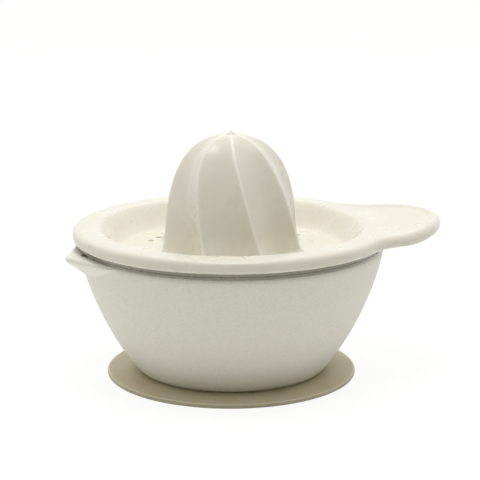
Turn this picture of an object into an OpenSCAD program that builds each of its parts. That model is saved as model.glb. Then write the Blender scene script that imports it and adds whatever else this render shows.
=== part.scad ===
// Citrus juicer: a bowl with a spout on a suction base, and a lift-off reamer plate
// on a seal ring. Millimetres, +Z up. The origin is on the bowl's axis, in the plane
// that the suction base stands on. The spout points along -X.

/* [Suction base] */
// Diameter of the suction disc
base_d = 97; // [90:1:110]
// Thickness of the disc at its outer edge
base_edge_h = 1.5; // [1.2:0.1:2.5]
// Height of the seat that the bowl stands on
base_seat_h = 2; // [1.8:0.1:4]
// Width of the flat lip that seals on the table
base_lip_w = 4.5; // [3:0.5:6]
// Depth of the hollow under the disc, at its centre
base_hollow_h = 1.2; // [0.6:0.1:1.6]
// Height of the plug that grips inside the bowl's foot
plug_h = 3.4; // [2:0.1:5]

/* [Bowl] */
// Outer diameter of the bowl at its mouth
mouth_d = 118.5; // [112:0.5:130]
// Outer diameter of the bowl's foot
foot_d = 72.4; // [66:0.2:80]
// Height of the bowl from foot to rim
bowl_h = 49.5; // [44:0.5:60]
// Radius of the curve that the wall follows
wall_arc_r = 114; // [90:1:160]
// Thickness of the bowl's wall
bowl_wall = 2.4; // [1.8:0.1:3.2]
// Thickness of the bowl's floor
bowl_floor = 2.4; // [1.8:0.1:4]
// Width of the foot ring under the bowl
foot_w = 3.4; // [2.5:0.1:5]
// Depth of the recess inside the foot ring
foot_recess_h = 3.7; // [3.5:0.1:6]
// Radius that rounds the bowl's rim
rim_round = 0.9; // [0.4:0.1:1.1]

/* [Spout] */
// Reach of the spout from the bowl's axis
spout_reach = 67.2; // [65:0.2:72]
// Half of the angle that the spout takes up round the rim
spout_half_angle = 19; // [15:1:25]
// Radius of the spout's nose, seen from above
spout_nose_r = 7; // [4:0.5:8]
// Depth below the rim at which the spout runs into the wall
spout_depth = 10; // [9:0.5:15]
// Thickness of the spout's sides
spout_wall = 2; // [1.6:0.1:2.6]
// Radius that rounds the spout's edges
spout_round = 1.4; // [1:0.1:1.6]

/* [Seal ring] */
// Thickness of the ring between bowl and plate
ring_h = 2; // [1.4:0.1:3]
// Distance that the ring's edge stays in from the edge of the bowl
ring_inset = 0.3; // [0:0.1:1]
// Depth of the lip inside the bowl's mouth
lip_h = 3; // [2:0.1:4]
// Thickness of the lip at its lower edge
lip_w = 1.8; // [1.4:0.1:2.2]
// Height of the bead that holds the ring on the plate
bead_h = 1; // [0.6:0.1:1.2]

/* [Reamer plate] */
// Diameter of the plate
plate_d = 122; // [120:0.5:134]
// Thickness of the plate's rim
plate_rim_h = 4.2; // [3.4:0.1:5.5]
// Inner diameter of the rim, where the dish begins
dish_d = 103; // [98:0.5:106]
// Height of the dish floor above the underside of the rim
dish_floor_h = -3.9; // [-4.6:0.1:-2.5]
// Width of the slope between rim and dish floor
dish_slope_w = 9; // [6:0.5:11]
// Wall thickness of the plate
plate_wall = 2.2; // [1.8:0.1:2.6]
// Depth of the skirt that centres the plate in the bowl
skirt_h = 5.5; // [4.6:0.1:6]
// Thickness of the skirt
skirt_w = 1.8; // [1.6:0.1:2.4]
// Depth of the groove that holds the ring's bead
groove_depth = 0.9; // [0.6:0.1:1]

/* [Cone] */
// Height of the ribs above the dish floor
cone_h = 44.4; // [38:0.2:52]
// Diameter of the cone over its ribs, at the foot
cone_d = 56; // [48:1:60]
// Amount by which the cone's radius draws in towards the top
cone_draft = 6.2; // [3:0.2:9]
// Number of ribs
rib_count = 8; // [6:1:12]
// Depth of the hollow between ribs, as a share of the radius
flute_share = 0.13; // [0.06:0.01:0.17]
// Angle that the ribs turn through from top to foot
rib_twist = 24; // [0:1:40]
// Direction of a rib at the top, counted from the handle
rib_start = -8; // [-22:1:22]
// Amount by which a rib spreads at its foot
rib_foot = 3; // [0:0.2:4]
// Height of the point on top
point_h = 1.3; // [0.6:0.1:3]
// Diameter of the point at its root
point_d = 5; // [3:0.2:7]
// Thickness of the cone at its top
cone_top_wall = 3; // [2.4:0.1:5]

/* [Strainer] */
// Number of strainer holes on each side of the handle's axis
hole_count = 12; // [6:1:14]
// Diameter of a strainer hole
hole_d = 2.4; // [1.6:0.1:3]
// Gap between the foot of the ribs and the holes
hole_gap = 1.1; // [0.8:0.1:2]
// Angle from the first hole of a side to the last
hole_span = 123; // [90:1:140]

/* [Handle] */
// Radius of the round handle tab
tab_r = 31.6; // [26:0.2:33]
// Reach of the handle from the plate's axis
tab_reach = 83.3; // [78:0.1:90]
// Thickness of the tab
tab_h = 4.2; // [3.4:0.1:5]
// Angle by which the tab rises outwards
tab_tilt = 7.6; // [0:0.2:10]
// Depth of the sunken panel on the tab
panel_depth = 0.5; // [0.2:0.1:1]
// Width of the raised edge round the panel
panel_edge_w = 5.5; // [4:0.5:9]
// Radius that fills the corners between tab and rim
neck_r = 12; // [6:1:16]
// Direction of the handle at rest, where the spout is at 180
handle_angle = -12.1; // [-45:0.1:45]

/* [Fit] */
// Clearance between the soft rings and what they fit
soft_clear = 0.3; // [0.2:0.05:0.4]

/* [Hidden] */
$fn = 120;
// A cut runs this far past the face that it cuts
past = 1;

// Heights of the joints between pieces, from the table up
bowl_z = base_seat_h;
mouth_z = bowl_z + bowl_h;
plate_z = mouth_z + ring_h;
dish_z = plate_z + dish_floor_h;
plate_top_z = plate_z + plate_rim_h;
rim_fall = 1.2;

// Radii that pieces share
foot_r = foot_d / 2;
mouth_r = mouth_d / 2;
foot_bore_r = foot_r - foot_w;
plate_r = plate_d / 2;
dish_r = dish_d / 2;
dish_edge_z = plate_top_z - rim_fall;

// Centre of the wall's curve, on the perpendicular of the line from foot to mouth
chord = [mouth_r - foot_r, bowl_h];
chord_l = norm(chord);
chord_mid = [(foot_r + mouth_r) / 2, bowl_z + bowl_h / 2];
arc_back = sqrt(wall_arc_r * wall_arc_r - chord_l * chord_l / 4);
arc_centre = chord_mid + arc_back * [-chord.y, chord.x] / chord_l;

// Radius of the wall's curve at a height, for a curve of radius r
function wall_r(z, r) = arc_centre.x + sqrt(r * r - pow(z - arc_centre.y, 2));

// The ring's lip lies along the bowl's wall, and the plate's skirt inside the lip
lip_arc_r = wall_arc_r - bowl_wall - soft_clear;
lip_z = mouth_z - lip_h;
lip_in_r = wall_r(lip_z, lip_arc_r) - lip_w;
skirt_r = lip_in_r - soft_clear;
groove_r = skirt_r - groove_depth;
bead_z = mouth_z - lip_h / 2 - bead_h / 2;
ring_out_r = mouth_r - ring_inset;

// The cone's outline: t runs from 0 at the foot to 1 at the top
cone_r = cone_d / 2;
swell_power = 3.8;
round_power = 2.4;
function dome_r(t, r, draft) = (r - draft * t) * pow(1 - pow(t, swell_power), 1 / round_power);

// Levels crowd towards the top, where the outline turns over
cone_levels = 22;
level_crowding = 1.8;
cone_top_t = 0.9985;
rib_steps = 10;
around = rib_count * rib_steps;

// The foot spreads over this height, and in the flutes by this share of a rib's spread
foot_fade = 2.2;
flute_foot_share = 0.3;
foot_sink = plate_wall / 2;
cone_base_z = dish_z - foot_sink;
cone_span = cone_h + foot_sink;
function level_t(i) = cone_top_t * (1 - pow(1 - i / cone_levels, level_crowding));

// Where a point lies between two ribs: 1 on a rib and 0 in the middle of a flute
function on_rib(j) = pow(2 * (j % rib_steps) / rib_steps - 1, 2);
function foot_spread(t, j) =
    rib_foot * exp(-max(t * cone_span - foot_sink, 0) / foot_fade)
    * (flute_foot_share + (1 - flute_foot_share) * on_rib(j));
function cone_point(i, j) =
    let (
        t = level_t(i),
        ridge_r = dome_r(t, cone_r, cone_draft),
        r = ridge_r * (1 - flute_share * (1 - on_rib(j))) + foot_spread(t, j),
        a = rib_start + 360 * j / around + rib_twist * (1 - t)
    )
    [r * cos(a), r * sin(a), cone_base_z + t * cone_span];

// The tab is a round disc, tipped about a line near the plate's edge
tab_centre_x = tab_reach - tab_r;
pivot_inset = 3;
pivot_drop = 0.1;
tab_pivot_x = plate_r - pivot_inset;
tab_pivot_z = plate_top_z - pivot_drop;

// Overlaps that join the tab, its fillets and the skirt to the plate
rim_overlap = 4;
neck_trim = 0.6;
skirt_sink = 0.5;

// Angle at which the rim's round edge runs into its top
rim_edge_angle = 75;

// The row of holes, and the point on top of the cone
hole_row_r = cone_r + rib_foot + hole_gap + hole_d / 2;
point_sink = 1.5;
point_tip_r = 0.4;

// The spout has a round nose at the rim, two roots on the rim and a keel on the wall
nose_angles = [-70, -35, 0, 35, 70];

// The channel's root, keel and nose lie this far inside the spout's, in walls: the root
// along and across, the keel along and up, and the nose up
root_inset = [0.5, 2];
keel_inset = [0.3, 1.1];
nose_rise = 0.5;
spout_nose_x = spout_reach - spout_nose_r;
spout_root_r = mouth_r - bowl_wall / 2;
keel_z = mouth_z - spout_depth;
keel_r = wall_r(keel_z, wall_arc_r) - spout_round;

module revolved() {
    rotate_extrude() children();
}

// The space inside the wall's curve of radius r, between two heights
module wall_space(r, low, high) {
    intersection() {
        translate(arc_centre) circle(r, $fn = 360);
        translate([0, low]) square([mouth_r + past, high - low]);
    }
}

// Block with a round outer edge, as seen in section
module bullnose(r, h) {
    translate([0, -h / 2]) square([r - h / 2, h]);
    translate([r - h / 2, 0]) circle(h / 2);
}

module suction_base() {
    base_r = base_d / 2;
    edge_round = base_edge_h / 2;
    lip_r = base_r - base_lip_w;
    plug_r = foot_bore_r - soft_clear;
    color([0.74, 0.7, 0.6]) revolved() difference() {
        union() {
            translate([base_r - edge_round, edge_round]) circle(edge_round);
            polygon([
                [0, 0],
                [base_r - edge_round, 0],
                [base_r - edge_round, base_edge_h],
                [foot_r, base_seat_h],
                [0, base_seat_h]
            ]);
            square([plug_r, base_seat_h + plug_h]);
        }
        polygon([
            [0, -past],
            [lip_r, -past],
            [lip_r, 0],
            [lip_r - base_lip_w, base_hollow_h / 2],
            [lip_r / 2, base_hollow_h],
            [0, base_hollow_h]
        ]);
    }
}

module bowl_section() {
    difference() {
        wall_space(wall_arc_r, bowl_z, mouth_z);
        translate([-past, bowl_z - past]) square([foot_bore_r + past, foot_recess_h + past]);
        wall_space(wall_arc_r - bowl_wall, bowl_z + foot_recess_h + bowl_floor, mouth_z + past);
        translate([mouth_r - rim_round, mouth_z - rim_round]) difference() {
            square(rim_round + past);
            circle(rim_round);
        }
    }
}

// The spout's form, drawn in by a shift and raised at the top by a lift
module spout_form(shift, lift) {
    rim_z = mouth_z - spout_round + lift;
    nose_r = spout_nose_r - spout_round - shift;
    root_x = spout_root_r * cos(spout_half_angle) - root_inset.x * shift;
    root_y = spout_root_r * sin(spout_half_angle) - root_inset.y * shift;
    corners = concat(
        [for (a = nose_angles, z = [rim_z, mouth_z - spout_round + nose_rise * shift])
            [spout_nose_x + nose_r * cos(a), nose_r * sin(a), z]],
        [for (side = [-1, 1]) [root_x, side * root_y, rim_z]],
        [[keel_r - keel_inset.x * shift, 0, keel_z + keel_inset.y * shift]]
    );
    rotate([0, 0, 180]) hull() for (corner = corners) {
        translate(corner) sphere(spout_round, $fn = 20);
    }
}

module bowl() {
    color([0.86, 0.85, 0.8]) difference() {
        union() {
            revolved() bowl_section();
            difference() {
                spout_form(0, 0);
                revolved() wall_space(wall_arc_r - bowl_wall / 2, bowl_z, mouth_z + past);
            }
        }
        spout_form(spout_wall, 2 * spout_round);
    }
}

module seal_ring() {
    color([0.5, 0.49, 0.45]) revolved() {
        translate([lip_in_r, mouth_z]) square([ring_out_r - lip_in_r, ring_h]);
        difference() {
            wall_space(lip_arc_r, lip_z, mouth_z + ring_h / 2);
            square([lip_in_r, 2 * mouth_z]);
        }
        translate([groove_r + soft_clear, bead_z])
            square([lip_in_r - groove_r, bead_h]);
    }
}

// Points on an arc, from angle a to angle b
function arc_points(centre, r, a, b, steps) =
    [for (i = [0:steps]) let (u = a + (b - a) * i / steps) centre + r * [cos(u), sin(u)]];

// S-shaped slope of the dish, from the rim down to the floor
function slope_points(steps) =
    [for (i = [0:steps]) [
        dish_r - dish_slope_w * i / steps,
        dish_edge_z + (dish_z - dish_edge_z) * (1 - cos(180 * i / steps)) / 2
    ]];

// Section of the plate: rounded rim, dish and floor, with the skirt under the rim
module plate_section() {
    nose_r = plate_rim_h / 2;
    nose = [plate_r - nose_r, plate_z + nose_r];
    steps = 10;
    slope = slope_points(steps);
    under_shift = plate_wall * [0.6, -1];
    under = [for (i = [steps:-1:0]) slope[i] + under_shift];
    difference() {
        union() {
            polygon(concat(
                arc_points(nose, nose_r, -90, rim_edge_angle, steps),
                slope,
                [[0, dish_z], [0, dish_z - plate_wall]],
                [for (p = under) if (p.y < plate_z) p],
                [[skirt_r, plate_z]]
            ));
            translate([skirt_r - skirt_w, plate_z - skirt_h]) square([skirt_w, skirt_h + skirt_sink]);
        }
        translate([groove_r, bead_z - soft_clear])
            square([groove_depth + past, bead_h + 2 * soft_clear]);
    }
}

// The handle: a round disc with a sunken panel, tipped up outwards
module tab() {
    difference() {
        translate([tab_pivot_x, 0, tab_pivot_z]) rotate([0, -tab_tilt, 0])
            translate([tab_centre_x - tab_pivot_x, 0, 0]) revolved() difference() {
                translate([0, -tab_h / 2]) bullnose(tab_r, tab_h);
                translate([0, -panel_depth]) square([tab_r - panel_edge_w, panel_depth + past]);
            }
        translate([0, 0, plate_z - tab_r]) cylinder(r = dish_r + rim_overlap, h = 2 * tab_r);
        translate([0, 0, plate_z - tab_r]) cylinder(r = plate_r, h = tab_r);
    }
}

// Fillets between the round rim and the round tab
module necks() {
    far = plate_r + neck_r;
    near = tab_r + neck_r;
    x = (far * far - near * near + tab_centre_x * tab_centre_x) / (2 * tab_centre_x);
    y = sqrt(far * far - x * x);
    translate([0, 0, plate_z + neck_trim]) linear_extrude(plate_rim_h - 2 * neck_trim)
        for (side = [-1, 1]) difference() {
            polygon([[0, 0], [tab_centre_x, 0], [x, side * y]]);
            translate([x, side * y]) circle(neck_r);
            circle(plate_r - past);
            translate([tab_centre_x, 0]) circle(tab_r - past);
        }
}

// Outside of the cone: ribs that turn as they come down, with hollow flutes between
module fluted_cone() {
    last = cone_levels * around;
    points = concat(
        [for (i = [0:cone_levels - 1]) for (j = [0:around - 1]) cone_point(i, j)],
        [[0, 0, cone_base_z + cone_span], [0, 0, cone_base_z]]
    );
    walls = [for (i = [0:cone_levels - 2]) for (j = [0:around - 1])
        let (a = i * around + j, b = i * around + (j + 1) % around)
        each [[a, a + around, b + around], [a, b + around, b]]];
    top = [for (j = [0:around - 1])
        [last - around + j, last, last - around + (j + 1) % around]];
    bottom = [for (j = [0:around - 1]) [j, (j + 1) % around, last + 1]];
    polyhedron(points, concat(walls, top, bottom));
}

// Space inside the cone, open below
module cone_hollow() {
    inner_r = cone_r * (1 - flute_share) - plate_wall;
    inner_h = cone_h - cone_top_wall;
    steps = 16;
    rise = [for (i = [0:steps]) let (t = 1 - pow(1 - i / steps, 2))
        [dome_r(t, inner_r, cone_draft * (1 - flute_share)), dish_z + t * inner_h]];
    revolved() polygon(concat([[0, dish_z - plate_wall - past], [inner_r, dish_z - plate_wall - past]], rise));
}

// A row of round holes on each side of the handle's axis
module strainer_holes() {
    for (side = [90, 270], k = [0:hole_count - 1])
        rotate([0, 0, side + hole_span * (k / (hole_count - 1) - 0.5)])
            translate([hole_row_r, 0, dish_z - plate_wall - past])
                cylinder(d = hole_d, h = plate_wall + 2 * past, $fn = 32);
}

module reamer_plate() {
    color([0.93, 0.92, 0.86]) rotate([0, 0, handle_angle]) difference() {
        union() {
            revolved() plate_section();
            tab();
            necks();
            fluted_cone();
            translate([0, 0, cone_base_z + cone_span - point_sink])
                cylinder(r1 = point_d / 2, r2 = point_tip_r, h = point_h + point_sink);
        }
        cone_hollow();
        strainer_holes();
    }
}

suction_base();
bowl();
seal_ring();
reamer_plate();
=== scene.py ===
"""Citrus juicer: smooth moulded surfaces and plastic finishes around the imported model."""
import math

import bmesh
import bpy
import numpy as np
from mathutils import Matrix, Vector


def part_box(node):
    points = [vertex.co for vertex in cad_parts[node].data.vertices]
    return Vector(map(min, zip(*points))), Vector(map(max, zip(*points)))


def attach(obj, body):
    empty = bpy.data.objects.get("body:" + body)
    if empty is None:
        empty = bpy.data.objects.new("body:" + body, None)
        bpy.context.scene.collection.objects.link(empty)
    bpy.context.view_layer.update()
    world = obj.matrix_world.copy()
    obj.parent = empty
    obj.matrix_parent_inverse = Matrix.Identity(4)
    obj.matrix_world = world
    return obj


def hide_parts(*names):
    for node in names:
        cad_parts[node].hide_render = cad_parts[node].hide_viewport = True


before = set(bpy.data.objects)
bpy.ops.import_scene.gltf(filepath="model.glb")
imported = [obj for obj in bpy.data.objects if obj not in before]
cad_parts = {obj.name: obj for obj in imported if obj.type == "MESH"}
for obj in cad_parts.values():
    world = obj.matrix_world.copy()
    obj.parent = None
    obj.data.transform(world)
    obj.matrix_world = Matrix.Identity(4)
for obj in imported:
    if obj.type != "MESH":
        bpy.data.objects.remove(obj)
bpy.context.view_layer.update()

MM = 0.001

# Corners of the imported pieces, which give the heights and radii that the pieces share
disc_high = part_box("suction_base")[1]
bowl_low, bowl_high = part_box("bowl")
ring_low, ring_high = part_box("seal_ring")
plate_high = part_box("reamer_plate")[1]

# Suction base
BASE_R = disc_high.x
BASE_EDGE_H = 1.5 * MM
BASE_LIP_W = 4.5 * MM
BASE_HOLLOW_H = 1.2 * MM
BASE_COLUMNS = 256
SEAT_Z = bowl_low.z
PLUG_TOP_Z = disc_high.z

# Bowl
MOUTH_R = bowl_high.x
MOUTH_Z = bowl_high.z
FOOT_R = 36.2 * MM
FOOT_W = 3.4 * MM
# Step between the foot ring and the wall, which shows as a dark line
FOOT_STEP_W = 1.2 * MM
FOOT_STEP_H = 0.6 * MM
RECESS_H = 3.7 * MM
BOWL_WALL = 2.4 * MM
WALL_ARC_R = 114 * MM
RIM_ROUND_W = 1.5 * MM
RIM_ROUND_H = 3.2 * MM
RIM_INNER_ROUND = 0.7 * MM
FLOOR_FILLET = 7 * MM
BOWL_COLUMNS = 400
# Where the wall's rows start, above the seat, and how many there are
WALL_START_H = 2 * MM
WALL_ROWS_H = 2.6 * MM
WALL_ROWS = 62
# The inside has closer rows down to just below the channel's floor than further down
CHANNEL_ROWS_Z = 46.6 * MM
CHANNEL_ROWS = 20
INNER_ROWS_Z = 45.8 * MM
INNER_ROWS = 42
FILLET_ROWS = 12
FLOOR_ROWS = 9

# Spout, which points along -X: a straight side runs from the wall to each side of its
# round nose, and its keel and its channel's floor slope up to the nose
SPOUT_ANGLE = math.pi
SPOUT_INSET = 0.4 * MM
SPOUT_R = -bowl_low.x - SPOUT_INSET
SPOUT_NOSE_ANGLE = math.radians(1.8)
# The V's narrowest share of its full width
SPOUT_LEAST_SHARE = 0.15
# Directions between which the sides drop behind the wall, by how much, and how much
# further they drop for each length below the spout's foot
SPOUT_FADE_FROM = math.radians(18)
SPOUT_FADE_TO = math.radians(29)
SPOUT_FADE_DEPTH = 9 * MM
SPOUT_FALL_BELOW = 3
# Radius of the nose, where keel and channel start, the height at which they reach the nose,
# how strongly they curve on the way, the angle of the sides, and the length over which they
# blend into the wall
KEEL = dict(
    nose_r=SPOUT_R,
    foot_r=57.3 * MM,
    foot_z=43.3 * MM,
    top_z=50.1 * MM,
    curve=0.95,
    side_angle=math.radians(30),
    blend=1.2 * MM,
)
CHANNEL = dict(
    nose_r=SPOUT_R - 2.4 * MM,
    foot_r=55.2 * MM,
    foot_z=47.3 * MM,
    top_z=51.15 * MM,
    curve=6,
    side_angle=math.radians(46),
    blend=0.5 * MM,
)

# Seal ring
RING_R = ring_high.x
# The ring and the plate's rim show slightly taller than their solids are
RING_RISE = 0.4 * MM
RING_TOP_Z = ring_high.z + RING_RISE
RING_COLUMNS = 320
FLANGE_H = 0.7 * MM
FACE_INSET = 0.3 * MM
LIP_Z = ring_low.z
LIP_W = 1.8 * MM
SOFT_CLEAR = 0.3 * MM
BEAD_H = 1 * MM

# Reamer plate, in its own frame with the handle along +X
HANDLE_ANGLE = math.radians(-12.1)
RIM_R = 61 * MM
RIM_H = 4.4 * MM
RIM_ARCH = 0.2 * MM
RIM_TOP_Z = RING_TOP_Z + RIM_H
RIM_HEEL = 0.8 * MM
RIM_SHOULDER = 1.9 * MM
DISH_Z = RING_TOP_Z - 4.3 * MM
DISH_FLOOR_R = 42.5 * MM
DISH_R = 52 * MM
RIM_CREST_R = 55 * MM
PLATE_WALL = 2.2 * MM
SKIRT_H = 5.5 * MM
SKIRT_W = 1.8 * MM
SKIRT_FOOT_H = 2 * MM
GROOVE_DEPTH = 0.9 * MM
# The plate's rows follow its edge over this width, and are circles inside this radius
FLAT_W = 6 * MM
FLAT_R = 54 * MM
DISH_FLOOR_RADII = np.array([41, 38.5, 36, 34, 32.6]) * MM

# The tab that makes the handle, its sunken panel and its fillets towards the rim
TAB_R = 31.6 * MM
TAB_X = 51.7 * MM
TAB_BLUNT = 0.03
TAB_HEEL = 1.3 * MM
TAB_SHOULDER = 2.9 * MM
TAB_HALF_ANGLE = math.radians(26)
TAB_FADE_ANGLE = math.radians(13)
NECK_R = 26 * MM
TAB_SLOPE = math.tan(math.radians(7.6))
TAB_BEND_X = 62.5 * MM
TAB_BEND_SOFTNESS = 1.2 * MM
UNDER_STEEPNESS = 1.22
UNDER_BEND_SHIFT = 4 * MM
PANEL_DEPTH = 0.55 * MM
PANEL_FRAME_W = 2.4 * MM
PANEL_SLOPE_W = 2.6 * MM

# Cone
CONE_R = 28 * MM
CONE_DRAFT = 6.2 * MM
CONE_H = 44.4 * MM
CONE_TOP_SHARE = 0.9987
CONE_ROWS = 56
DOME_CURVE = 3.8
DOME_ROUNDNESS = 2.4
RIBS = 8
RIB_PITCH = 2 * math.pi / RIBS
RIB_FOOT_ANGLE = math.radians(15.2)
RIB_TWIST = math.radians(0.53) / MM
RIB_COLUMNS = 60
RIB_CROWDING = 0.75
FLUTE_SHARE = 0.13
CREST_ROUND = 0.5 * MM
# Width of the painted highlight along each rib's crest, and the height over which it fades in
PAINTED_HIGHLIGHT_W = 0.55 * MM
PAINTED_HIGHLIGHT_FADE = 4 * MM
RIB_FOOT = 1.2 * MM
RIB_FOOT_FADE = 4 * MM
RIB_FILLET = 2.6 * MM
FLUTE_FILLET = 1.4 * MM
POINT_R = 2.4 * MM
POINT_Z = plate_high.z
POINT_END_R = 0.12 * MM
POINT_END_H = 0.1 * MM
POINT_CURVE = 1.7
HOLLOW_R = CONE_R * (1 - FLUTE_SHARE) - PLATE_WALL
HOLLOW_H = CONE_H - 3 * MM
HOLLOW_ROWS = 18

# Strainer holes, in a row on each side of the handle's axis
HOLES = 12
HOLE_R = 1.2 * MM
HOLE_ROW_R = 33.3 * MM
HOLE_SPAN = math.radians(123)
HOLE_COLUMNS = 28

# Edges that turn by more than this stay sharp
SHARP_ANGLE = math.radians(40)


def smoothstep(x):
    x = np.clip(x, 0, 1)
    return x * x * (3 - 2 * x)


def mix(a, b, share):
    return a + (b - a) * share


# Meshes

def add_piece(name, mesh):
    piece = bpy.data.objects.new(name, mesh)
    bpy.context.scene.collection.objects.link(piece)
    return piece


def grid_mesh(name, rings, start=None, end=None):
    """Closed mesh through rings of points. A point closes each end, and without these
    two the last ring joins the first."""
    rings = np.asarray(rings)
    count, columns = rings.shape[:2]
    points = rings.reshape(-1, 3).tolist()
    joins = [(i, i + 1) for i in range(count - 1)]
    if start is None:
        joins.append((count - 1, 0))
    around = [(j, (j + 1) % columns) for j in range(columns)]
    faces = [
        (low * columns + j, low * columns + k, high * columns + k, high * columns + j)
        for low, high in joins for j, k in around
    ]
    if start is not None:
        first = len(points)
        top = (count - 1) * columns
        points += [start, end]
        faces += [(first, k, j) for j, k in around]
        faces += [(top + j, top + k, first + 1) for j, k in around]
    mesh = bpy.data.meshes.new(name)
    mesh.from_pydata(points, [], faces)
    mesh.shade_smooth()
    return mesh


def rounded_path(corners, steps=6):
    """Path through (r, z, rounding) corners, with an arc at each rounded one."""
    path = []
    for i, (r, z, rounding) in enumerate(corners):
        corner = Vector((r, z))
        if not rounding:
            path.append(corner)
            continue
        back = (Vector(corners[i - 1][:2]) - corner).normalized()
        on = (Vector(corners[(i + 1) % len(corners)][:2]) - corner).normalized()
        half = back.angle(on) / 2
        centre = corner + (back + on).normalized() * (rounding / math.sin(half))
        first = corner + back * (rounding / math.tan(half)) - centre
        last = corner + on * (rounding / math.tan(half)) - centre
        path += [centre + rounding * first.slerp(last, k / steps).normalized()
                 for k in range(steps + 1)]
    return [tuple(p) for p in path]


def refined(path, step=1.5 * MM):
    """The path with points added where two lie further apart than a step."""
    points = [path[0]]
    for (r0, z0), (r1, z1) in zip(path, path[1:]):
        parts = math.ceil(math.dist((r0, z0), (r1, z1)) / step)
        points += [(mix(r0, r1, k / parts), mix(z0, z1, k / parts)) for k in range(1, parts + 1)]
    return points


def circle_row(angles, radius, z):
    """Ring of points. The radius and the height are numbers, or one for each angle."""
    return np.stack(
        [radius * np.cos(angles), radius * np.sin(angles), z + 0 * angles], axis=-1)


def path_rows(angles, path):
    return [circle_row(angles, r, z) for r, z in path]


def even_angles(columns):
    return np.arange(columns) * 2 * math.pi / columns


def signed(angles):
    """The same angles, from -180 to 180 degrees."""
    return (angles + math.pi) % (2 * math.pi) - math.pi


# Suction base

def make_base():
    lip_r = BASE_R - BASE_LIP_W
    plug_r = FOOT_R - FOOT_W - SOFT_CLEAR
    path = refined(rounded_path([
        (lip_r / 2, BASE_HOLLOW_H, 0),
        (lip_r - BASE_LIP_W, BASE_HOLLOW_H / 2, 2 * MM),
        (lip_r, 0, 0.3 * MM),
        (BASE_R, 0, 0.35 * MM),
        (BASE_R, BASE_EDGE_H, 0.6 * MM),
        (FOOT_R, SEAT_Z, 0),
        (plug_r, SEAT_Z, 0.5 * MM),
        (plug_r, PLUG_TOP_Z, 0.8 * MM),
        (plug_r / 2, PLUG_TOP_Z, 0),
    ]))
    rings = path_rows(even_angles(BASE_COLUMNS), path)
    ends = [(0, 0, BASE_HOLLOW_H), (0, 0, PLUG_TOP_Z)]
    return add_piece("suction_disc", grid_mesh("suction_disc", rings, *ends))


# Bowl

def wall_arc_centre():
    """Centre of the wall's curve, on the perpendicular of the line from foot to mouth."""
    chord = Vector((MOUTH_R - FOOT_R, MOUTH_Z - SEAT_Z))
    middle = Vector(((MOUTH_R + FOOT_R) / 2, (MOUTH_Z + SEAT_Z) / 2))
    back = math.sqrt(WALL_ARC_R ** 2 - chord.length_squared / 4)
    return middle + back * Vector((-chord.y, chord.x)).normalized()


ARC_X, ARC_Z = wall_arc_centre()


def wall_radius(z, inwards=0):
    """Radius of the bowl's outside at a height, or of a curve further in."""
    return ARC_X + np.sqrt((WALL_ARC_R - inwards) ** 2 - (z - ARC_Z) ** 2)


def soft_max(a, b, blend):
    """The larger of two lengths, with a soft change from one to the other."""
    return blend * np.logaddexp(a / blend, b / blend)


def with_spout(angles, r, z, nose_r, foot_r, foot_z, top_z, curve, side_angle, blend):
    """Radius of the wall at a height, drawn out into the keel or the channel. The V of
    the spout is as wide as its nose is far out at that height."""
    share = min(max((z - foot_z) / (top_z - foot_z), 0), 1) ** curve
    off = np.abs(signed(angles - SPOUT_ANGLE)) / max(share, SPOUT_LEAST_SHARE)
    off = np.clip(np.hypot(off, SPOUT_NOSE_ANGLE), 0, side_angle)
    side = nose_r * math.cos(side_angle - SPOUT_NOSE_ANGLE) / np.cos(side_angle - off)
    beside = smoothstep((off - SPOUT_FADE_FROM) / (SPOUT_FADE_TO - SPOUT_FADE_FROM))
    below = max(foot_z - z, 0)
    reach = mix(foot_r, side, share) - SPOUT_FADE_DEPTH * beside - SPOUT_FALL_BELOW * below
    return soft_max(r, reach, blend)


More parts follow.
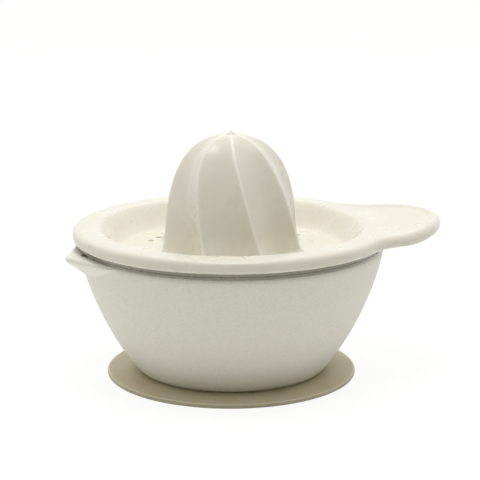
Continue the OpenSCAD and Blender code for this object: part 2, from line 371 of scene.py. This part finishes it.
def make_bowl():
    recess_r = FOOT_R - FOOT_W
    ceiling_z = SEAT_Z + RECESS_H
    floor_z = ceiling_z + BOWL_WALL
    angles = even_angles(BOWL_COLUMNS)

    def outer_row(z, inset=0):
        r = with_spout(angles, wall_radius(z), z, **KEEL)
        return circle_row(angles, r - inset, z)

    def inner_row(z, inset=0):
        r = with_spout(angles, wall_radius(z, BOWL_WALL), z, **CHANNEL)
        return circle_row(angles, r + inset, z)

    under = refined(rounded_path([
        (recess_r / 2, ceiling_z, 0),
        (recess_r, ceiling_z, 0.8 * MM),
        (recess_r, SEAT_Z, 0.5 * MM),
        (FOOT_R - FOOT_STEP_W, SEAT_Z, 0.2 * MM),
        (FOOT_R - FOOT_STEP_W, SEAT_Z + FOOT_STEP_H, 0.2 * MM),
        (FOOT_R, SEAT_Z + FOOT_STEP_H, 0.5 * MM),
        (wall_radius(SEAT_Z + WALL_START_H), SEAT_Z + WALL_START_H, 0),
    ]))
    rings = path_rows(angles, under)
    rim_z = MOUTH_Z - RIM_ROUND_H
    rings += [outer_row(z) for z in np.linspace(SEAT_Z + WALL_ROWS_H, rim_z, WALL_ROWS)]
    for turn in np.radians(np.arange(9, 91, 9)):
        z = rim_z + RIM_ROUND_H * math.sin(turn)
        rings.append(outer_row(z, RIM_ROUND_W * (1 - math.cos(turn))))
    rim_z = MOUTH_Z - RIM_INNER_ROUND
    for turn in np.radians([90, 72, 54, 36, 18]):
        ring = inner_row(rim_z, RIM_INNER_ROUND * (1 - math.cos(turn)))
        rings.append(ring + np.array([0, 0, RIM_INNER_ROUND * math.sin(turn)]))
    rings += [inner_row(z) for z in np.linspace(rim_z, CHANNEL_ROWS_Z, CHANNEL_ROWS)]
    rings += [inner_row(z)
              for z in np.linspace(INNER_ROWS_Z, floor_z + FLOOR_FILLET, INNER_ROWS)]
    for turn in np.radians(np.linspace(80, 0, FILLET_ROWS)):
        z = floor_z + FLOOR_FILLET * (1 - math.cos(turn))
        r = wall_radius(z, BOWL_WALL) - FLOOR_FILLET * (1 - math.sin(turn))
        rings.append(circle_row(angles, r, z))
    floor_r = rings[-1][0, 0]
    rings += [circle_row(angles, r, floor_z) for r in np.linspace(floor_r, 0, FLOOR_ROWS)[1:-1]]
    ends = [(0, 0, ceiling_z), (0, 0, floor_z)]
    return add_piece("spouted_bowl", grid_mesh("spouted_bowl", rings, *ends))


# Seal ring

def make_ring():
    lip_in = wall_radius(LIP_Z, BOWL_WALL + SOFT_CLEAR) - LIP_W
    lip_h = MOUTH_Z - LIP_Z
    bead_r = lip_in - GROOVE_DEPTH
    bead_z = MOUTH_Z - (lip_h + BEAD_H) / 2
    flange_z = MOUTH_Z + FLANGE_H
    face_r = RING_R - FACE_INSET
    path = rounded_path([
        (lip_in, LIP_Z, 0.5 * MM),
        (wall_radius(LIP_Z, BOWL_WALL + SOFT_CLEAR), LIP_Z, 0.6 * MM),
        (wall_radius(MOUTH_Z, BOWL_WALL + SOFT_CLEAR), MOUTH_Z, 0.2 * MM),
        (RING_R, MOUTH_Z, 0.3 * MM),
        (RING_R, flange_z, 0.25 * MM),
        (face_r, flange_z + 0.1 * MM, 0.15 * MM),
        (face_r, RING_TOP_Z, 0.2 * MM),
        (lip_in, RING_TOP_Z, 0.2 * MM),
        (lip_in, bead_z + BEAD_H, 0.1 * MM),
        (bead_r, bead_z + BEAD_H, 0.3 * MM),
        (bead_r, bead_z, 0.3 * MM),
        (lip_in, bead_z, 0.1 * MM),
    ])
    closed = refined(path + path[:1], 0.6 * MM)[:-1]
    rings = path_rows(even_angles(RING_COLUMNS), closed)
    return add_piece("ring_seal", grid_mesh("ring_seal", rings))


# Reamer plate

def plate_outline(angles):
    """Edge of the plate in each direction, with its outward normal: a round rim, a
    round tab, and a fillet in each corner between them."""
    way = np.stack([np.cos(angles), np.abs(np.sin(angles))], axis=-1)
    far, near = RIM_R + NECK_R, TAB_R + NECK_R
    neck_x = (far ** 2 - near ** 2 + TAB_X ** 2) / (2 * TAB_X)
    neck = np.array([neck_x, math.sqrt(far ** 2 - neck_x ** 2)])
    tab = np.array([TAB_X, 0])
    tab_end = tab + (neck - tab) * TAB_R / near
    turned = np.abs(angles)
    on_tab = turned < math.atan2(tab_end[1], tab_end[0])
    on_neck = ~on_tab & (turned < math.atan2(neck[1], neck[0]))

    def crossing(centre, radius, side):
        along = way @ centre
        room = np.clip(along ** 2 + radius ** 2 - centre @ centre, 0, None)
        return along + side * np.sqrt(room)

    reach = np.where(on_tab, crossing(tab, TAB_R, 1),
                     np.where(on_neck, crossing(neck, NECK_R, -1), RIM_R))
    edge = way * reach[:, None]
    normal = np.where(on_tab[:, None], (edge - tab) / TAB_R,
                      np.where(on_neck[:, None], (neck - edge) / NECK_R, way))
    edge[:, 0] -= TAB_BLUNT * np.clip(edge[:, 0] - TAB_X, 0, None)
    mirror = np.stack([np.ones_like(angles), np.where(angles < 0, -1, 1)], axis=-1)
    return edge * mirror, normal * mirror


def dish_drop(r):
    """Depth of the dish below the rim's top, which is slightly arched."""
    share = (DISH_R - r) / (DISH_R - DISH_FLOOR_R)
    arch = RIM_ARCH * (1 - ((r - RIM_CREST_R) / (RIM_R - RIM_CREST_R)) ** 2)
    return (RIM_TOP_Z - DISH_Z) * smoothstep(share) - np.clip(arch, 0, None)


def tab_lift(x):
    """Height that the tab gains outwards, from a soft bend near the rim."""
    return TAB_SLOPE * TAB_BEND_SOFTNESS * np.logaddexp(0, (x - TAB_BEND_X) / TAB_BEND_SOFTNESS)


def under_lift(x):
    """The same for the tab's underside, which bends further out and more steeply, so
    that the handle is thickest at its neck."""
    return UNDER_STEEPNESS * tab_lift(x - UNDER_BEND_SHIFT)


def dome_radius(t, radius, draft):
    """Radius of the cone's outline at a share of its height, from 0 at the foot to 1."""
    return (radius - draft * t) * (1 - np.minimum(t, 1) ** DOME_CURVE) ** (1 / DOME_ROUNDNESS)


def plate_underside():
    """Path from the top of the hollow in the cone, under the dish and round the skirt."""
    under_z = DISH_Z - PLATE_WALL
    skirt_out = wall_radius(LIP_Z, BOWL_WALL + SOFT_CLEAR) - LIP_W - SOFT_CLEAR
    skirt_in = skirt_out - SKIRT_W
    skirt_z = RING_TOP_Z - SKIRT_H
    groove_r = skirt_out - GROOVE_DEPTH
    groove_z = (LIP_Z + MOUTH_Z - BEAD_H) / 2 - SOFT_CLEAR
    groove_top_z = groove_z + BEAD_H + 2 * SOFT_CLEAR

    rise = 1 - (np.arange(1, HOLLOW_ROWS + 1) / HOLLOW_ROWS) ** 2
    path = [(dome_radius(t, HOLLOW_R, CONE_DRAFT * (1 - FLUTE_SHARE)), DISH_Z + t * HOLLOW_H)
            for t in rise]
    path += rounded_path([
        (HOLLOW_R, DISH_Z, 0),
        (HOLLOW_R, under_z, 0.8 * MM),
        (DISH_FLOOR_R, under_z, 0),
    ])
    out = 0.6 * PLATE_WALL
    slope = np.linspace(DISH_FLOOR_R, skirt_in - out, 16)[1:]
    path += [(r + out, RIM_TOP_Z - dish_drop(r) - PLATE_WALL) for r in slope]
    path += rounded_path([
        (skirt_in, skirt_z + SKIRT_FOOT_H, 0),
        (skirt_in, skirt_z, 0.4 * MM),
        (skirt_out, skirt_z, 0.4 * MM),
        (skirt_out, groove_z, 0.15 * MM),
        (groove_r, groove_z, 0.15 * MM),
        (groove_r, groove_top_z, 0.15 * MM),
        (skirt_out, groove_top_z, 0.15 * MM),
        (skirt_out, RING_TOP_Z - 0.3 * MM, 0),
    ], steps=4)
    return refined(path, 4 * MM)


def plate_edge_rows(angles):
    """Rows round the plate's edge, from its underside to the foot of the dish's slope."""
    edge, normal = plate_outline(angles)
    on_tab = 1 - smoothstep((np.abs(angles) - TAB_HALF_ANGLE) / TAB_FADE_ANGLE)
    heel = mix(RIM_HEEL, TAB_HEEL, on_tab)
    shoulder = mix(RIM_SHOULDER, TAB_SHOULDER, on_tab)
    panel = PANEL_DEPTH * on_tab

    def row(inwards, z, under=0):
        """Row that follows the edge. The last share says how far it belongs to the
        underside."""
        place = edge - normal * inwards[:, None]
        lift = mix(tab_lift(place[:, 0]), under_lift(place[:, 0]), under)
        return np.column_stack([place, z + lift])

    def top_row(inwards):
        place = edge - normal * inwards[:, None]
        sunk = panel * smoothstep((inwards - PANEL_FRAME_W) / PANEL_SLOPE_W)
        return row(inwards, RIM_TOP_Z - dish_drop(np.hypot(*place.T)) - sunk)

    rows = []
    skirt_r = plate_underside()[-1][0]
    inner = circle_row(angles, skirt_r + 0.3 * MM, RING_TOP_Z)
    bottom = row(heel, RING_TOP_Z, 1)
    for share in (0, 0.25, 0.5, 0.75):
        ring = mix(inner, bottom, share)
        ring[:, 2] = RING_TOP_Z + under_lift(ring[:, 0])
        rows.append(ring)
    for turn in np.radians(np.linspace(0, 90, 7)):
        z = RING_TOP_Z + heel * (1 - math.cos(turn))
        rows.append(row(heel * (1 - math.sin(turn)), z, 1))
    for share in (0.25, 0.5, 0.75):
        z = mix(RING_TOP_Z + heel, RIM_TOP_Z - shoulder, share)
        rows.append(row(0 * heel, z, 1 - share))
    for turn in np.radians(np.linspace(0, 80, 9)):
        z = RIM_TOP_Z - shoulder * (1 - math.sin(turn))
        rows.append(row(shoulder * (1 - math.cos(turn)), z))
    for share in np.linspace(0, 1, 12):
        rows.append(top_row(mix(shoulder, FLAT_W, share)))

    last = rows[-1]
    inner = circle_row(angles, FLAT_R, 0)
    for share in (0.2, 0.4, 0.6, 0.8):
        ring = mix(last, inner, share)
        drop = dish_drop(np.hypot(ring[:, 0], ring[:, 1]))
        ring[:, 2] = RIM_TOP_Z - drop - panel + tab_lift(ring[:, 0])
        rows.append(ring)
    for r in np.linspace(FLAT_R, DISH_FLOOR_R, 24):
        fade = smoothstep((r - DISH_FLOOR_R) / (FLAT_R - DISH_FLOOR_R))
        rows.append(circle_row(angles, r, RIM_TOP_Z - dish_drop(r) - panel * fade))
    return rows


def cone_rows(angles):
    """Rows from the foot of the cone up to the root of its point."""
    turn = ((angles - RIB_FOOT_ANGLE) / RIB_PITCH) % 1
    off_rib = 2 * np.minimum(turn, 1 - turn)
    on_rib = (1 - off_rib) ** 2
    fillet = mix(FLUTE_FILLET, RIB_FILLET, on_rib)

    def row(height, spread):
        t = height / CONE_H
        radius = dome_radius(t, CONE_R, CONE_DRAFT)
        crest = CREST_ROUND / np.maximum(radius * RIB_PITCH / 2, CREST_ROUND)
        off = np.sqrt(off_rib ** 2 + crest ** 2) - crest
        radius = radius * (1 - FLUTE_SHARE * off * (2 - off)) + spread
        radius = radius + RIB_FOOT * on_rib * np.exp(-height / RIB_FOOT_FADE)
        return circle_row(angles - RIB_TWIST * height, radius, DISH_Z + height)

    rows = [row(fillet * (1 - math.cos(bend)), fillet * (1 - math.sin(bend)))
            for bend in np.radians(np.linspace(0, 80, 9))]
    for step in np.linspace(0, 1, CONE_ROWS):
        share = 1 - (1 - step) ** 2
        rows.append(row(mix(fillet, CONE_TOP_SHARE * CONE_H, share), 0))
    return rows


def point_rows(angles):
    """Rows of the small point on top of the cone."""
    root_z = DISH_Z + CONE_TOP_SHARE * CONE_H
    turned_back = angles - RIB_TWIST * CONE_H
    return [circle_row(turned_back, POINT_R * (1 - step) ** POINT_CURVE + POINT_END_R,
                       mix(root_z, POINT_Z - POINT_END_H, step))
            for step in np.linspace(0.1, 1, 9)]


def rib_crowded_angles():
    """Angles for the plate's columns, closest together on the ribs."""
    step = np.arange(RIB_COLUMNS) / RIB_COLUMNS
    crowded = step - RIB_CROWDING * np.sin(2 * math.pi * step) / (2 * math.pi)
    angles = [RIB_FOOT_ANGLE + RIB_PITCH * (rib + crowded) for rib in range(RIBS)]
    return np.concatenate(angles)


def hole_cutters():
    """Round cutters in one mesh, flared where they leave the floor, so that the holes'
    edges are soft."""
    top, bottom = DISH_Z, DISH_Z - PLATE_WALL
    profile = [
        (HOLE_R + 0.6 * MM, bottom - 1 * MM),
        (HOLE_R + 0.25 * MM, bottom),
        (HOLE_R + 0.08 * MM, bottom + 0.15 * MM),
        (HOLE_R, bottom + 0.4 * MM),
        (HOLE_R, top - 0.4 * MM),
        (HOLE_R + 0.08 * MM, top - 0.15 * MM),
        (HOLE_R + 0.25 * MM, top),
        (HOLE_R + 0.6 * MM, top + 1 * MM),
    ]
    rings = path_rows(even_angles(HOLE_COLUMNS), profile)
    cutter = grid_mesh("cutter", rings, (0, 0, profile[0][1]), (0, 0, profile[-1][1]))
    cutter.transform(Matrix.Translation((HOLE_ROW_R, 0, 0)))
    ways = [side + HOLE_SPAN * (k / (HOLES - 1) - 0.5)
            for side in (math.pi / 2, -math.pi / 2) for k in range(HOLES)]
    build = bmesh.new()
    turned = 0
    for way in ways:
        cutter.transform(Matrix.Rotation(way - turned, 4, "Z"))
        turned = way
        build.from_mesh(cutter)
    build.to_mesh(cutter)
    build.free()
    return add_piece("cutter", cutter)


def cut(piece, cutter):
    """Takes the cutter's shape out of the piece's mesh, and removes the cutter."""
    modifier = piece.modifiers.new("holes", "BOOLEAN")
    modifier.object = cutter
    modifier.solver = "EXACT"
    graph = bpy.context.evaluated_depsgraph_get()
    mesh = bpy.data.meshes.new_from_object(piece.evaluated_get(graph))
    piece.modifiers.clear()
    piece.data = mesh
    bpy.data.objects.remove(cutter)


def paint_crest_highlight(mesh):
    """Stores a painted highlight along the ribs' crests: how near each point of the cone lies to
    a crest, which makes its colour paler.
    """
    points = np.empty(3 * len(mesh.vertices))
    mesh.vertices.foreach_get("co", points)
    x, y, z = points.reshape(-1, 3).T
    r = np.hypot(x, y)
    turn = np.arctan2(y, x) + RIB_TWIST * (z - DISH_Z) - RIB_FOOT_ANGLE
    off = np.abs((turn + RIB_PITCH / 2) % RIB_PITCH - RIB_PITCH / 2) * r
    on_cone = smoothstep((z - DISH_Z) / PAINTED_HIGHLIGHT_FADE)
    on_cone = on_cone * (r > POINT_R) * (r < CONE_R + RIB_FILLET)
    near = np.exp(-(off / PAINTED_HIGHLIGHT_W) ** 2) * on_cone
    # The painted highlight is kept in the point attribute crest
    mesh.attributes.new("crest", "FLOAT", "POINT").data.foreach_set("value", near)


def make_plate():
    angles = rib_crowded_angles()
    rings = path_rows(angles, plate_underside())
    rings += plate_edge_rows(signed(angles))
    rings += [circle_row(angles, r, DISH_Z) for r in DISH_FLOOR_RADII]
    rings += cone_rows(angles)
    rings += point_rows(angles)
    ends = [(0, 0, DISH_Z + HOLLOW_H), (0, 0, POINT_Z)]
    piece = add_piece("fluted_plate", grid_mesh("fluted_plate", rings, *ends))
    cut(piece, hole_cutters())
    paint_crest_highlight(piece.data)
    piece.data.transform(Matrix.Rotation(HANDLE_ANGLE, 4, "Z"))
    return piece


# Materials

class Nodes:
    """Short names for adding and joining the nodes of a material or of the world."""

    def __init__(self, owner, shader="Principled BSDF", place=None):
        """The place is the kind of coordinates that the textures use."""
        owner.use_nodes = True
        self.tree = owner.node_tree
        self.shader = self.tree.nodes[shader]
        if place:
            self.place = self.add("TexCoord").outputs[place]

    def add(self, kind, **inputs):
        node = self.tree.nodes.new("ShaderNode" + kind)
        self.fill(node, **inputs)
        return node

    def shade(self, **inputs):
        self.fill(self.shader, **inputs)

    def fill(self, node, **inputs):
        for name, value in inputs.items():
            self.give(node, name.replace("_", " "), value)

    def give(self, node, key, value):
        """Sets a node's input, by name or number, or joins it to another's output."""
        socket = node.inputs[key]
        if isinstance(value, bpy.types.NodeSocket):
            self.tree.links.new(value, socket)
        else:
            socket.default_value = value

    def give_all(self, node, *values):
        for index, value in enumerate(values):
            self.give(node, index, value)

    def combine(self, operation, a, b):
        node = self.add("Math")
        node.operation = operation
        self.give_all(node, a, b)
        return node.outputs[0]

    def vector(self, operation, a, b=(0, 0, 0)):
        node = self.add("VectorMath")
        node.operation = operation
        self.give_all(node, a, b)
        return node

    def ramp(self, value, low, high, to_low=0.0, to_high=1.0):
        """Number that changes smoothly while the value goes from low to high."""
        node = self.add("MapRange")
        node.interpolation_type = "SMOOTHSTEP"
        self.give_all(node, value, low, high, to_low, to_high)
        return node.outputs[0]

    def tint(self, share, a, b):
        """Colour from a to b by share."""
        node = self.add("Mix")
        node.data_type = "RGBA"
        for index, value in ((0, share), (6, a), (7, b)):
            if isinstance(value, tuple):
                value = (*value, 1)
            self.give(node, index, value)
        return node.outputs[2]

    def mixed(self, share, a, b):
        """Shader from a to b by share."""
        node = self.add("MixShader")
        self.give_all(node, share, a, b)
        return node.outputs[0]

    def noise(self, size, detail):
        """Noise from 0 to 1 whose features are about the given size across."""
        place = self.add("Mapping", Vector=self.place, Scale=[1 / size] * 3)
        return self.add("TexNoise", Vector=place.outputs[0], Scale=1.0,
                        Detail=detail).outputs["Fac"]

    def specks(self, cell, radius, share):
        """1 inside round specks, at most one to a cell, and 0 elsewhere."""
        place = self.add("Mapping", Vector=self.place, Scale=[1 / cell] * 3)
        cells = self.add("TexVoronoi", Vector=place.outputs[0], Scale=1.0)
        chosen = self.add("SeparateColor", Color=cells.outputs["Color"]).outputs[0]
        limit = self.combine("LESS_THAN", chosen, share)
        inner = self.ramp(cells.outputs["Distance"], radius / cell, 0.5 * radius / cell)
        return self.combine("MULTIPLY", limit, inner)

    def speckled(self, colour, speck, strength, *kinds):
        """The colour with two kinds of specks, each a cell size, a radius and a share."""
        marks = self.combine("ADD", *(self.specks(*kind) for kind in kinds))
        return self.tint(self.combine("MULTIPLY", marks, strength), colour, speck)

    def bump(self, height, strength, depth):
        node = self.add("Bump", Height=height, Strength=strength, Distance=depth)
        self.shade(Normal=node.outputs[0])


def linear(red, green, blue):
    """Colour given as it shows on screen, 0 to 255, as the shader's linear values."""
    shares = [value / 255 for value in (red, green, blue)]
    return tuple(s / 12.92 if s <= 0.04045 else ((s + 0.055) / 1.055) ** 2.4 for s in shares)


def new_material(name, specular):
    material = bpy.data.materials.new(name)
    nodes = Nodes(material, place="Object")
    nodes.shade(Specular_IOR_Level=specular)
    return material, nodes


def let_light_in(nodes, share, depth):
    """Light enters the plastic and leaves it again nearby, red further than blue."""
    nodes.shade(Subsurface_Weight=share, Subsurface_Radius=(1.0, 0.9, 0.7),
                Subsurface_Scale=depth)


def plate_plastic():
    """Cream moulded plastic with a satin gloss, a few dark specks, faint flow marks and
    a painted highlight along the ribs' crests."""
    material, nodes = new_material("plate_plastic", 0.5)
    let_light_in(nodes, 0.15, 1.2 * MM)
    cream, warm = linear(237, 234, 222), linear(234, 230, 216)
    speck, painted_crest_highlight = linear(150, 142, 122), linear(253, 251, 241)
    colour = nodes.tint(nodes.ramp(nodes.noise(18 * MM, 3), 0.35, 0.65), cream, warm)
    colour = nodes.speckled(colour, speck, 0.6, (7 * MM, 0.26 * MM, 0.04),
                            (3.4 * MM, 0.16 * MM, 0.02))
    # Painted highlight: the colour turns paler towards the ribs' crests, by the crest attribute
    crest = nodes.add("Attribute")
    crest.attribute_name = "crest"
    nodes.shade(
        Base_Color=nodes.tint(crest.outputs["Fac"], colour, painted_crest_highlight),
        Roughness=nodes.ramp(nodes.noise(9 * MM, 4), 0.3, 0.7, 0.25, 0.36),
        Coat_Weight=0.3,
        Coat_Roughness=0.34,
    )
    nodes.bump(nodes.noise(9 * MM, 1), 0.2, 0.02 * MM)
    return material


def bowl_plastic():
    """Matt cream plastic, finely speckled all over with plant fibre."""
    material, nodes = new_material("bowl_plastic", 0.4)
    let_light_in(nodes, 0.1, 0.8 * MM)
    body, shade, fibre = linear(240, 238, 229), linear(235, 232, 220), linear(168, 156, 124)
    colour = nodes.tint(nodes.ramp(nodes.noise(0.9 * MM, 3), 0.4, 0.7), body, shade)
    colour = nodes.speckled(colour, fibre, 0.35, (1.7 * MM, 0.24 * MM, 0.25),
                            (4.2 * MM, 0.4 * MM, 0.12))
    nodes.shade(
        Base_Color=colour,
        Roughness=nodes.ramp(nodes.noise(2 * MM, 3), 0.3, 0.7, 0.5, 0.62),
    )
    nodes.bump(nodes.noise(0.45 * MM, 2), 0.35, 0.03 * MM)
    return material


def ring_silicone():
    """Grey silicone with a soft shine and faint smears."""
    material, nodes = new_material("ring_silicone", 0.8)
    grey, smeared = linear(104, 99, 58), linear(95, 90, 48)
    smear = nodes.ramp(nodes.noise(5 * MM, 3), 0.3, 0.7)
    nodes.shade(
        Base_Color=nodes.tint(smear, grey, smeared),
        Roughness=nodes.ramp(smear, 0.0, 1.0, 0.24, 0.34),
        Coat_Weight=1.0,
        Coat_Roughness=0.2,
        Coat_IOR=1.9,
    )
    nodes.bump(nodes.noise(1.5 * MM, 2), 0.2, 0.02 * MM)
    return material


def base_silicone():
    """Matt beige silicone with a fine, dry skin and a painted highlight along a line just inside
    its edge.
    """
    material, nodes = new_material("base_silicone", 0.4)
    beige, cloudy, painted_edge_highlight = linear(219, 209, 180), linear(211, 200, 168), linear(238, 231, 210)
    colour = nodes.tint(nodes.ramp(nodes.noise(10 * MM, 4), 0.3, 0.7), beige, cloudy)
    # Painted highlight: a paler ring just inside the disc's edge, set by the radius
    flat = nodes.vector("MULTIPLY", nodes.place, (1, 1, 0)).outputs["Vector"]
    radius = nodes.vector("LENGTH", flat).outputs["Value"]
    inner = nodes.ramp(radius, BASE_R - 1 * MM, BASE_R - 0.45 * MM)
    highlight_outer_fade = nodes.ramp(radius, BASE_R - 0.3 * MM, BASE_R - 0.05 * MM, 1.0, 0.0)
    nodes.shade(
        Base_Color=nodes.tint(nodes.combine("MULTIPLY", inner, highlight_outer_fade), colour, painted_edge_highlight),
        Roughness=nodes.ramp(nodes.noise(3 * MM, 3), 0.3, 0.7, 0.46, 0.58),
    )
    nodes.bump(nodes.noise(0.5 * MM, 2), 0.3, 0.02 * MM)
    return material


# Stage

FLOOR_HALF_W = 12
# How brightly the floor is seen, and how much of that is its own glow
FLOOR_GLOW = 1.04
FLOOR_GLOW_SHARE = 0.85
# Light of the room: from the sides and the back, from the camera's side, and from above.
# The last numbers are the cosines between which it changes
SIDE_LIGHT = (0.32, 0.32, 0.31)
FRONT_LIGHT = (0.05, 0.048, 0.04)
TOP_LIGHT = (1.32, 1.31, 1.26)
FRONT_WAY = (-0.366, -0.902, 0.1)
TOP_WAY = (0.116, 0.287, 0.951)
FRONT_CHANGE = (-0.2, 0.6)
TOP_CHANGE = (0.35, 0.95)
# Soft boxes: direction and elevation in degrees, size in metres, power in watts, and colour
SOFT_BOXES = {
    "top_box": (-112, 86, 0.3, 2.4, (1, 0.99, 0.95)),
    "left_box": (172, 14, 0.24, 0.2, (1, 1, 1)),
}
BOX_DISTANCE = 0.9
BOX_AIM = Vector((0, 0, 45 * MM))
# The camera, a little above the object, before it is turned round the object's axis
CAMERA_LENS = 127.78
CAMERA_PLACE = Vector((3.417 * MM, -642.33 * MM, 202.57 * MM))
CAMERA_TILT = math.radians(13.169)
CAMERA_TURN = math.radians(-22.1)


def background_rays(nodes):
    """1 for the rays that see the background: from the camera, or by way of a gloss."""
    path = nodes.add("LightPath")
    total = path.outputs["Is Camera Ray"]
    for name in ("Is Glossy Ray", "Is Transmission Ray"):
        total = nodes.combine("MAXIMUM", total, path.outputs[name])
    return total


def make_floor():
    """Pale floor that looks white but keeps a faint shadow, and is clear from below."""
    mesh = bpy.data.meshes.new("floor")
    corners = [(x * FLOOR_HALF_W, y * FLOOR_HALF_W, 0)
               for x, y in ((-1, -1), (1, -1), (1, 1), (-1, 1))]
    mesh.from_pydata(corners, [], [(0, 1, 2, 3)])
    floor = add_piece("floor", mesh)
    material = bpy.data.materials.new("floor")
    nodes = Nodes(material)
    nodes.shade(Base_Color=(0.98, 0.98, 0.97, 1), Roughness=0.9, Specular_IOR_Level=0.0)
    shaded = nodes.shader.outputs[0]
    glow = nodes.add("Emission", Strength=FLOOR_GLOW).outputs[0]
    clear = nodes.add("BsdfTransparent").outputs[0]
    back = nodes.add("NewGeometry").outputs["Backfacing"]
    white = nodes.mixed(FLOOR_GLOW_SHARE, shaded, glow)
    seen = nodes.mixed(background_rays(nodes), shaded, white)
    output = nodes.tree.nodes["Material Output"]
    nodes.give(output, "Surface", nodes.mixed(back, seen, clear))
    mesh.materials.append(material)


def make_world():
    """White where it is seen. As a light it is brighter above, and dimmer on the
    camera's side."""
    world = bpy.data.worlds.new("studio")
    bpy.context.scene.world = world
    nodes = Nodes(world, "Background", "Generated")

    def facing(way, low, high):
        cosine = nodes.vector("DOT_PRODUCT", nodes.place, way).outputs["Value"]
        return nodes.ramp(cosine, low, high)

    light = nodes.tint(facing(FRONT_WAY, *FRONT_CHANGE), SIDE_LIGHT, FRONT_LIGHT)
    light = nodes.tint(facing(TOP_WAY, *TOP_CHANGE), light, TOP_LIGHT)
    nodes.shade(Color=nodes.tint(background_rays(nodes), light, (1, 1, 1)))


def make_lamps():
    for name, (azimuth, elevation, size, power, colour) in SOFT_BOXES.items():
        lamp = bpy.data.lights.new(name, "AREA")
        lamp.shape = "SQUARE"
        lamp.size = size
        lamp.energy = power
        lamp.color = colour
        box = bpy.data.objects.new(name, lamp)
        bpy.context.scene.collection.objects.link(box)
        turn, rise = math.radians(azimuth), math.radians(elevation)
        way = Vector((
            math.cos(turn) * math.cos(rise),
            math.sin(turn) * math.cos(rise),
            math.sin(rise),
        ))
        box.location = BOX_AIM + BOX_DISTANCE * way
        box.rotation_mode = "QUATERNION"
        box.rotation_quaternion = way.to_track_quat("Z", "Y")


def make_camera():
    """Camera at the photograph's viewpoint, so that the spout points left."""
    camera_data = bpy.data.cameras.new("camera")
    camera_data.sensor_width = 36
    camera_data.lens = CAMERA_LENS
    camera = bpy.data.objects.new("camera", camera_data)
    bpy.context.scene.collection.objects.link(camera)
    turn = Matrix.Rotation(CAMERA_TURN, 3, "Z")
    camera.location = turn @ CAMERA_PLACE
    way = turn @ Vector((0, math.cos(CAMERA_TILT), -math.sin(CAMERA_TILT)))
    camera.rotation_mode = "QUATERNION"
    camera.rotation_quaternion = way.to_track_quat("-Z", "Y")
    bpy.context.scene.camera = camera


def dress(piece, node, body, material):
    """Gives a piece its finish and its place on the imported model."""
    piece.data.materials.clear()
    piece.data.materials.append(material)
    piece.data.shade_smooth()
    piece.data.set_sharp_from_angle(angle=SHARP_ANGLE)
    normals = piece.modifiers.new("normals", "WEIGHTED_NORMAL")
    normals.keep_sharp = True
    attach(piece, body)
    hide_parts(node)


make_camera()
make_floor()
make_world()
make_lamps()
dress(make_base(), "suction_base", "base", base_silicone())
dress(make_bowl(), "bowl", "bowl", bowl_plastic())
dress(make_ring(), "seal_ring", "ring", ring_silicone())
dress(make_plate(), "reamer_plate", "plate", plate_plastic())
bpy.context.scene.view_settings.view_transform = "Standard"
